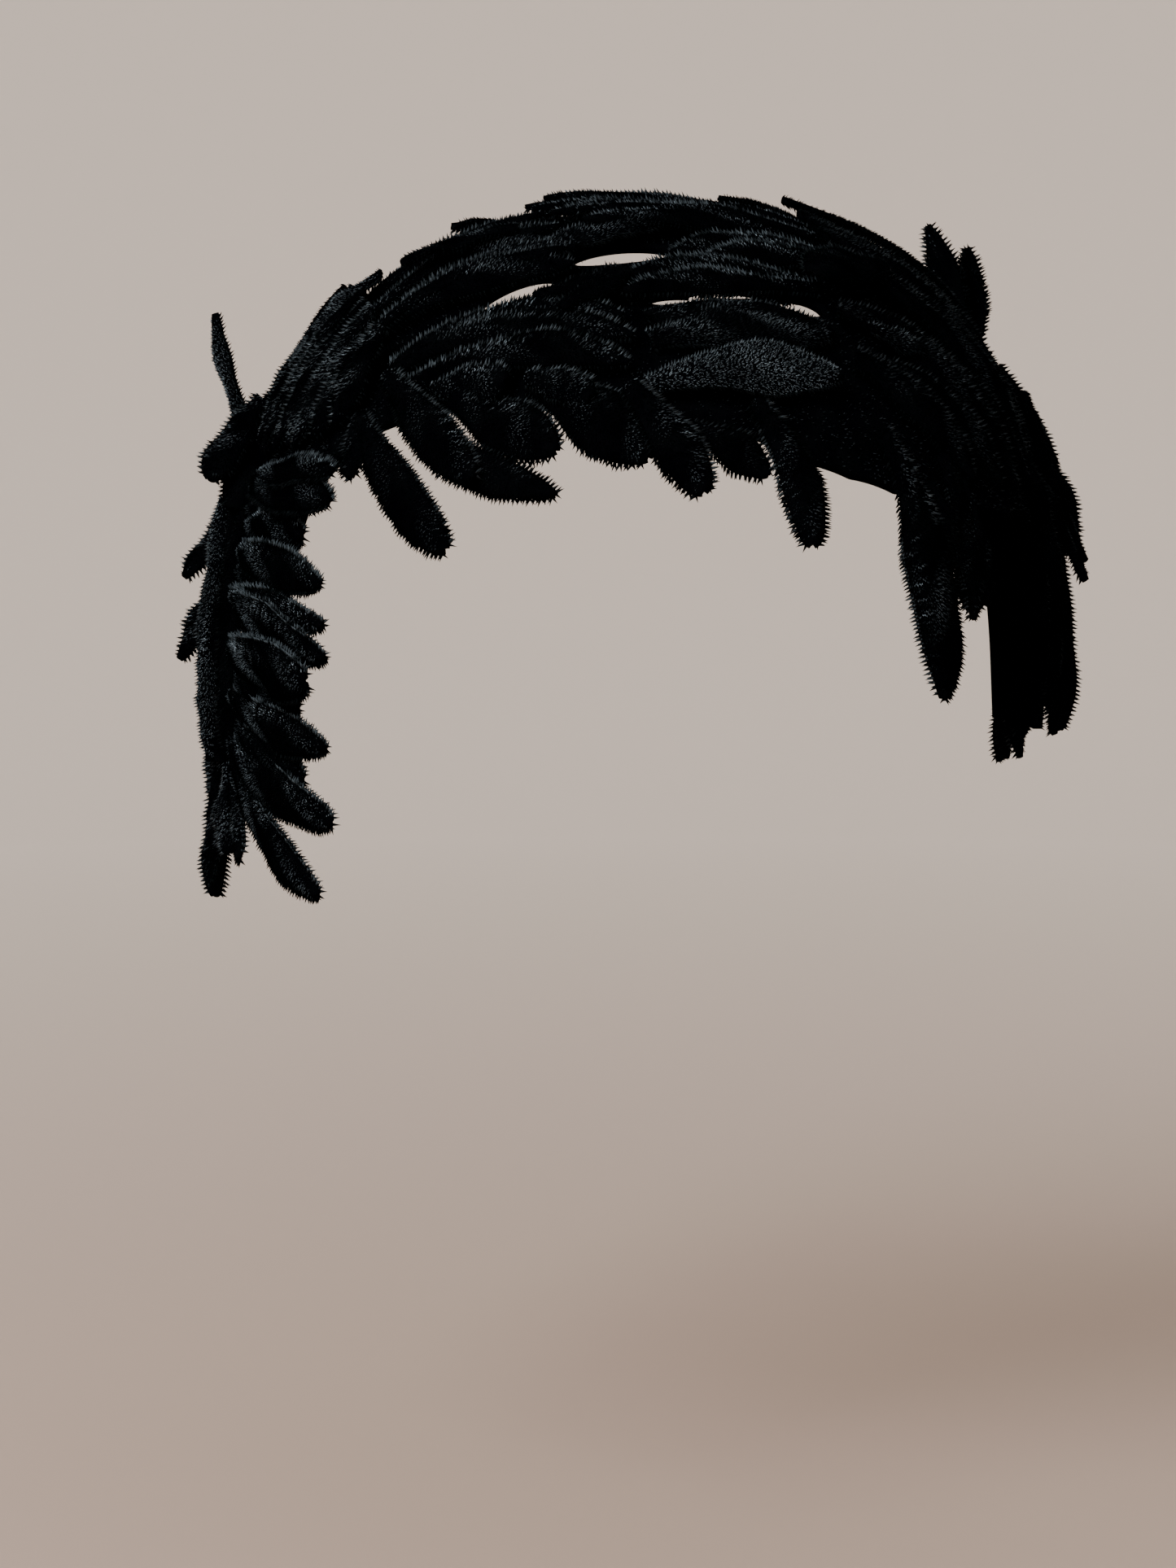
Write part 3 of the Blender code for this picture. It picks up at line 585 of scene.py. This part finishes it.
# Front leaves: velvet leaves caught on the band's front edge by their stems, so that their tips hang
# free. The two broad ones over the middle are crushed flat, and their pile is painted shining all over.
LEAF_CROWN = 1.0
FRONT_LEAVES = [
    Leaf("front_leaf_01", -54, 24.5, -61, 29, 7, 3.3, 4, 0, 0, 0.6, 0.25),
    Leaf("front_leaf_01", -54, 24.5, -64.5, 47.5, 8.5, 3.3, 5, 0, 0, 0.45, 0.25),
    Leaf("front_leaf_02", -50.5, 33, -46, 56, 7.5, 3.4, 3.2, -4, 0, 0.8, 0.1),
    Leaf("front_leaf_03", -48, 28, -53, 47, 8.5, 7.2, 6, 0, 0, 0.5, 0.45),
    Leaf("front_leaf_04", -45, 37, -40, 52.5, 11.5, 3.4, 3.8, -1, 0, 0.7, 0.55),
    Leaf("front_leaf_04", -46, 33.5, -38.5, 41.5, 8, 3.4, 4.4, 0, 10, 0.3, 0.68),
    Leaf("front_leaf_05", -35, 43, -26, 59.7, 14, 3.4, 4.6, 0, 0, 0.6, 0.58),
    Leaf("front_leaf_05", -35.5, 43, -29.5, 50, 7, 5.2, 5.6, 0, 8, 0.3, 0.72),
    Leaf("front_leaf_06", -22.5, 51, -18, 66, 9, 6.7, 7.7, 0, 0, 0.5, 0.5),
    Leaf("front_leaf_07", -14, 57, 3.5, 63.5, 8, 3.2, 3.4, 0, 0, 0.6, 0.1),
    Leaf("front_leaf_08", 3, 54, 19, 71.5, 8, 3.15, 5, 0, 0, 0.45, 0.4),
    Leaf("front_leaf_09", 31, 54, 88, 66, 12.5, 3.3, 4.8, -6, 0, 0.5, 0.4),
    Leaf("front_leaf_10", 47, 52, 72, 58.5, 7, 3.2, 4, 0, 0, 0.8, 0.12),
    Leaf("front_leaf_10", 44, 55, 60.5, 58.5, 6, 3.3, 3.6, 0, 0, 0.4, 0.05),
    Leaf("front_leaf_10", 50, 50, 70, 55.5, 4.5, 3.4, 4, 0, 0, 0.8, 0.12),
    Leaf("front_leaf_10", 44, 50, 70.5, 58, 11, 3.1, 3.4, 0, 0, 0.5, 0.05),
    Leaf("top_leaf_wide", -14.5, 44, 19, 42, 12, 3.4, 3.4, 0, 0, 0.6, 0.7),
    Leaf("top_leaf_wide", -13.5, 40.4, 10.5, 40.1, 3.6, 3.4, 3.4, 1.6, 0, 0.4, 0.5),
    Leaf("top_leaf_wide", -12.5, 40.6, 18.5, 41.3, 9, 3.2, 3.2, 0, 0, 0.6, 0.55),
    Leaf("top_leaf_bright", -18.8, 51, 20.5, 49.5, 11.5, 5.0, 5.2, 0, 0, 0.7, 1.0),
]
add_leaves(FRONT_LEAVES, pointed, LEAF_CROWN)


# Left spray: the same doubled leaves wired along one long stem, which hangs from the band's left end
# with its tips forward. Thin ones stick out of it to the back, and its last ones fan out at its foot.
LEFT_SPRAY = [
    Leaf("left_leaf_01", -56, -6, -66.5, -7, 9, 8.8, 13.5, 0, -50, 0.4, 0.6),
    Leaf("left_leaf_01", -54, -7, -69, -6, 12, 6, 6.5, 0, -50, 0.3, 0.04),
    Leaf("left_leaf_02", -66, -3, -61.5, 27.5, 7, 3.6, 7, 0, -20, 0.6, 0.6),
    Leaf("left_leaf_02", -66, -3, -65, 29, 9.5, 3.6, 7, 0, -20, 0.7, 0.6),
    Leaf("left_leaf_02", -69, -3, -68.5, 20, 6.5, 3.1, 3.3, 0, 0, 0.5, 0.15),
    Leaf("left_leaf_03", -71, -3, -70, 22, 7.5, 3.6, 3.6, 0, 0, 0.5, 0.6),
    Leaf("left_leaf_03", -64, -5.8, -99, -5.5, 6.5, 4.6, 4.6, 0, -40, 0.2, 0.03),
    Leaf("left_leaf_04", -74, -3, -75, 31, 8, 3.6, 7.5, 0, 0, 0.8, 0.6),
    Leaf("left_leaf_04", -76.5, -3.5, -78, 20, 7, 3, 3.2, 0, 0, 0.6, 0.15),
    Leaf("left_leaf_05", -79.5, -3, -80, 31, 8, 3.6, 6.2, 0, 20, 0.9, 0.6),
    Leaf("left_leaf_05", -79.5, -3, -84, 32, 11, 3.6, 6.2, 0, 20, 0.8, 0.6),
    Leaf("left_leaf_06", -86, -3.5, -87.5, 30, 12, 3.7, 7.8, 0, 12, 0.45, 0.6),
    Leaf("left_leaf_06", -89.5, -3, -91.5, 24, 7, 3.1, 3.2, 0, 0, 0.6, 0.15),
    Leaf("left_leaf_07", -92, -3, -96, 30, 8.5, 3.6, 3.8, 0, 0, 0.8, 0.6),
    Leaf("left_leaf_07", -95.5, -3, -100, 25, 7, 3.1, 3.4, 0, 0, 0.5, 0.15),
    Leaf("left_leaf_08", -98, -4, -104.5, 32, 9.5, 3.6, 4.5, 0, 0, 0.6, 0.6),
    Leaf("left_leaf_08", -98, -4, -113.5, 29, 9.5, 3.6, 4.5, -1, 0, 0.6, 0.6),
    Leaf("left_leaf_09", -101, -7, -112, 4, 9, 3.6, 4, 0, 0, 0.45, 0.6),
    Leaf("left_leaf_09", -101, -7, -117, -9, 6, 3.6, 9, 0, 0, 0.6, 0.6),
    Leaf("left_leaf_09", -98, -10, -106, -12, 8, 6, 8, 0, -50, 0.4, 0.6),
    Leaf("left_leaf_09", -103, -9, -118.5, -9, 6, 7.5, 8.5, 0, -60, 0.35, 0.4),
    Leaf("left_leaf_09", -101, -6, -112, -2, 7, 5, 5.5, 0, -40, 0.4, 0.8),
    Leaf("left_leaf_10", -66, -11, -77, -22, 7, 3.25, 10, 0, 0, 0.7, 0.6),
    Leaf("left_leaf_10", -68, -14, -78, -14, 6, 6, 15.5, 0, -50, 0.7, 0.5),
    Leaf("left_leaf_11", -76, -11, -86, -24, 7, 3.25, 9, 0, 0, 0.7, 0.6),
    Leaf("left_leaf_11", -77, -14, -88, -14, 6, 6, 16, 0, -50, 0.7, 0.5),
]
add_leaves(LEFT_SPRAY, pointed, LEAF_CROWN)


# Right spray: shorter leaves of the same make, stitched flat over the band's other end with their tips
# down, so that they hide its cut edge. Their pile faces away from the light, so it gets almost no
# painted sheen and is almost black.
RIGHT_SPRAY = [
    Leaf("right_leaf_01", 54, 17, 66, 11, 11, 8, 8, 0, 0, 0.6, 0.2),
    Leaf("right_leaf_01", 50, 14, 68, 12, 8, 6.2, 6.5, 0, 60, 0.4, 0.06),
    Leaf("right_leaf_02", 63, 21, 75.5, 14, 8, 3.4, 11, 0, 0, 0.7, 0.2),
    Leaf("right_leaf_02", 63, 21, 77, 22, 7, 3.4, 9, 0, 0, 0.7, 0.2),
    Leaf("right_leaf_02", 56, 31, 76, 29, 6, 3.8, 4, 0, 30, 0.5, 0.04),
    Leaf("right_leaf_02", 60, 17, 74, 17, 9, 6, 7.5, 0, 60, 0.5, 0.05),
    Leaf("right_leaf_03", 68, 5, 88, 7, 11, 4.6, 7.2, 0, 25, 0.6, 0.2),
    Leaf("right_leaf_03", 68, 5, 84, 0, 9, 4.6, 7.2, 0, 25, 0.6, 0.2),
    Leaf("right_leaf_04", 76, 13, 95, 15, 10, 3.4, 3.6, 0, 0, 0.5, 0.2),
    Leaf("right_leaf_04", 76, 13, 95, 10, 9, 3.4, 3.6, 0, 0, 0.5, 0.2),
    Leaf("right_leaf_04", 84, 13, 97.5, 12.5, 5, 4, 4, 0, 0, 0.5, 0.03),
    Leaf("right_leaf_04", 73, 14, 97, 12, 7.5, 5.6, 5.6, 0, 60, 0.4, 0.03),
    Leaf("right_leaf_05", 84, -3, 103, -8, 9, 3.3, 3.3, 0, 0, 0.7, 0.2),
    Leaf("right_leaf_05", 84, -3, 102, -2, 9, 3.3, 3.3, 0, 0, 0.7, 0.2),
    Leaf("right_leaf_05", 86, -5, 102.5, -6.5, 7, 3.3, 3.3, 0, 0, 0.7, 0.03),
    Leaf("right_leaf_05", 88, 0, 99, -1, 8, 3.3, 3.3, 0, 0, 0.5, 0.03),
]
add_leaves(RIGHT_SPRAY, pointed, LEAF_CROWN)


# Back leaves: pairs of the same leaves, each twisted onto one stem and caught under the band's back
# edge. At the two ends some of them spring up off it.
BACK_LEAVES = [
    Leaf("upright_leaf", -61.5, -10.7, -50.5, -9.5, 7, 6.4, 27, 0, 30, 0.6, 0.9),
    Leaf("spike_leaf", 53, -4, 37, -5, 7, 3.6, 24, 0, 50, 0.8, 0.4),
    Leaf("spike_leaf", 53, -4, 43, -6, 9, 3.6, 24, 0, 50, 0.8, 0.4),
    Leaf("spike_leaf", 53, -6, 42, -7, 6.5, 5, 28.5, 0, 50, 0.9, 0.3),
    Leaf("back_leaf_1", -16, -5, -25, -6, 5, 3.2, 8, 0, 0, 0.7, 0.4),
    Leaf("back_leaf_2", -38, -6, -50, -23, 9, 3.1, 5, 0, 0, 0.6, 0.4),
    Leaf("back_leaf_2", -38, -6, -35, -24, 9, 3.1, 5, 0, 0, 0.6, 0.4),
    Leaf("back_leaf_3", -8, -5, -19, -22, 9, 3.1, 5, 0, 0, 0.6, 0.4),
    Leaf("back_leaf_3", -8, -5, -4, -24, 9, 3.1, 5, 0, 0, 0.6, 0.4),
    Leaf("back_leaf_4", 24, -5, 14, -22, 9, 3.1, 5, 0, 0, 0.6, 0.4),
    Leaf("back_leaf_4", 24, -5, 30, -24, 9, 3.1, 5, 0, 0, 0.6, 0.4),
    Leaf("back_leaf_5", 64, -6, 56, -25, 9, 3.1, 5, 0, 0, 0.6, 0.4),
    Leaf("back_leaf_5", 64, -6, 72, -23, 9, 3.1, 5, 0, 0, 0.6, 0.4),
]
add_leaves(BACK_LEAVES, pointed, LEAF_CROWN)


# Stem ribbon: a narrow strip of velvet stitched over the bound stems, down the outside of the spray,
# crushed and lumpy over their ends.
RIBBON_CROWN = 0.8
RIBBON_LUMPS = 0.18
STRIP_ENDS = 6
STEM = [
    # Two strips make it: a wide one with almost no painted sheen, and a narrower one laid over it that
    # is painted shining all over, as painted light and shade across the ribbon.
    Leaf("left_stem_ribbon", -68.5, -9, -101, -9, 10, 6.9, 6.9, 0, -50, 0, 0.03),
    Leaf("left_stem_ribbon", -68, -9.7, -101, -9.7, 6.2, 9.2, 9.2, 0, -50, 0, 0.95),
]


def straight(leaf, along):
    """Half width of a strip against its widest: drawn in at both ends, and a little lumpy."""
    ends = np.maximum(1 - np.abs(2 * along - 1) ** STRIP_ENDS, LEAF_BASE)
    return ends * (1 - RIBBON_LUMPS + RIBBON_LUMPS * np.sin(31 * along) * np.sin(13 * along + 1))


add_leaves(STEM, straight, RIBBON_CROWN)


# Studio: a pale seamless bowl to stand the hat over, a large soft light from the upper left front,
# and a weak one that opens the shadows.
FLOOR_HEIGHT = -300 * MM
BOWL_FLOOR = 1.4
BOWL_BEND = 1.0
BOWL_HEIGHT = 3.0
BOWL_BEND_STEPS = 12
BOWL_SIDES = 64
BOWL_COLOUR = "ece4dc"
# The paper runs from BOWL_FOOT_COLOUR in the middle of the floor to BOWL_COLOUR from the bend up.
BOWL_FOOT_COLOUR = "a39084"
backdrop = new_material("matt_paper")
coords = add_node(backdrop, "ShaderNodeTexCoord")
away = add_node(backdrop, "ShaderNodeVectorMath", {"Vector": coords.outputs["Object"]},
                operation="LENGTH")
fade = add_node(backdrop, "ShaderNodeMapRange", {
    "Value": away.outputs["Value"], "From Min": -FLOOR_HEIGHT, "From Max": BOWL_FLOOR})
shade = add_node(backdrop, "ShaderNodeValToRGB", {"Fac": fade.outputs["Result"]})
shade.color_ramp.elements[0].color = linear(BOWL_FOOT_COLOUR)
shade.color_ramp.elements[1].color = linear(BOWL_COLOUR)
paper = add_node(backdrop, "ShaderNodeBsdfPrincipled", {
    "Base Color": shade.outputs["Color"], "Roughness": 0.9, "Specular IOR Level": 0.2})
add_node(backdrop, "ShaderNodeOutputMaterial", {"Surface": paper.outputs["BSDF"]})
bm = bmesh.new()
profile = [Vector((0, 0, FLOOR_HEIGHT)), Vector((BOWL_FLOOR, 0, FLOOR_HEIGHT))]
for step in range(1, BOWL_BEND_STEPS + 1):
    turn = math.pi / 2 * step / BOWL_BEND_STEPS
    profile.append(Vector((BOWL_FLOOR + BOWL_BEND * math.sin(turn), 0,
                           FLOOR_HEIGHT + BOWL_BEND * (1 - math.cos(turn)))))
profile.append(Vector((BOWL_FLOOR + BOWL_BEND, 0, BOWL_HEIGHT)))
verts = [bm.verts.new(point) for point in profile]
edges = [bm.edges.new(pair) for pair in zip(verts, verts[1:])]
bmesh.ops.spin(bm, geom=verts + edges, cent=(0, 0, 0), axis=(0, 0, 1), angle=2 * math.pi,
               steps=BOWL_SIDES, use_merge=True)
bmesh.ops.remove_doubles(bm, verts=bm.verts, dist=1 * MM)
bmesh.ops.recalc_face_normals(bm, faces=bm.faces)
bmesh.ops.reverse_faces(bm, faces=bm.faces)
mesh = bpy.data.meshes.new("studio_bowl")
bm.to_mesh(mesh)
bm.free()
mesh.polygons.foreach_set("use_smooth", [True] * len(mesh.polygons))
mesh.materials.append(backdrop)
bowl = bpy.data.objects.new("studio_bowl", mesh)
bpy.context.scene.collection.objects.link(bowl)

# Lamp: a square soft light, by its place and its side in metres and its power in watts.
Lamp = namedtuple("Lamp", "name place side power")
LAMPS = [Lamp("key_light", (-0.85, -0.75, 0.75), 0.7, 31), Lamp("fill_light", (0.9, -1.1, 0.3), 1.2, 5)]
LIT_POINT = Vector((0, -20 * MM, -70 * MM))
for name, spot, size, power in LAMPS:
    lamp_data = bpy.data.lights.new(name, "AREA")
    lamp_data.size = size
    lamp_data.energy = power
    lamp = bpy.data.objects.new(name, lamp_data)
    lamp.location = spot
    lamp.rotation_euler = (LIT_POINT - lamp.location).to_track_quat("-Z", "Y").to_euler()
    lamp.visible_camera = False
    bpy.context.scene.collection.objects.link(lamp)

AIR_COLOUR = "e6dfda"
AIR_STRENGTH = 0.94
world = bpy.data.worlds.new("studio_air")
world.use_nodes = True
world.node_tree.nodes["Background"].inputs["Color"].default_value = linear(AIR_COLOUR)
world.node_tree.nodes["Background"].inputs["Strength"].default_value = AIR_STRENGTH
bpy.context.scene.world = world
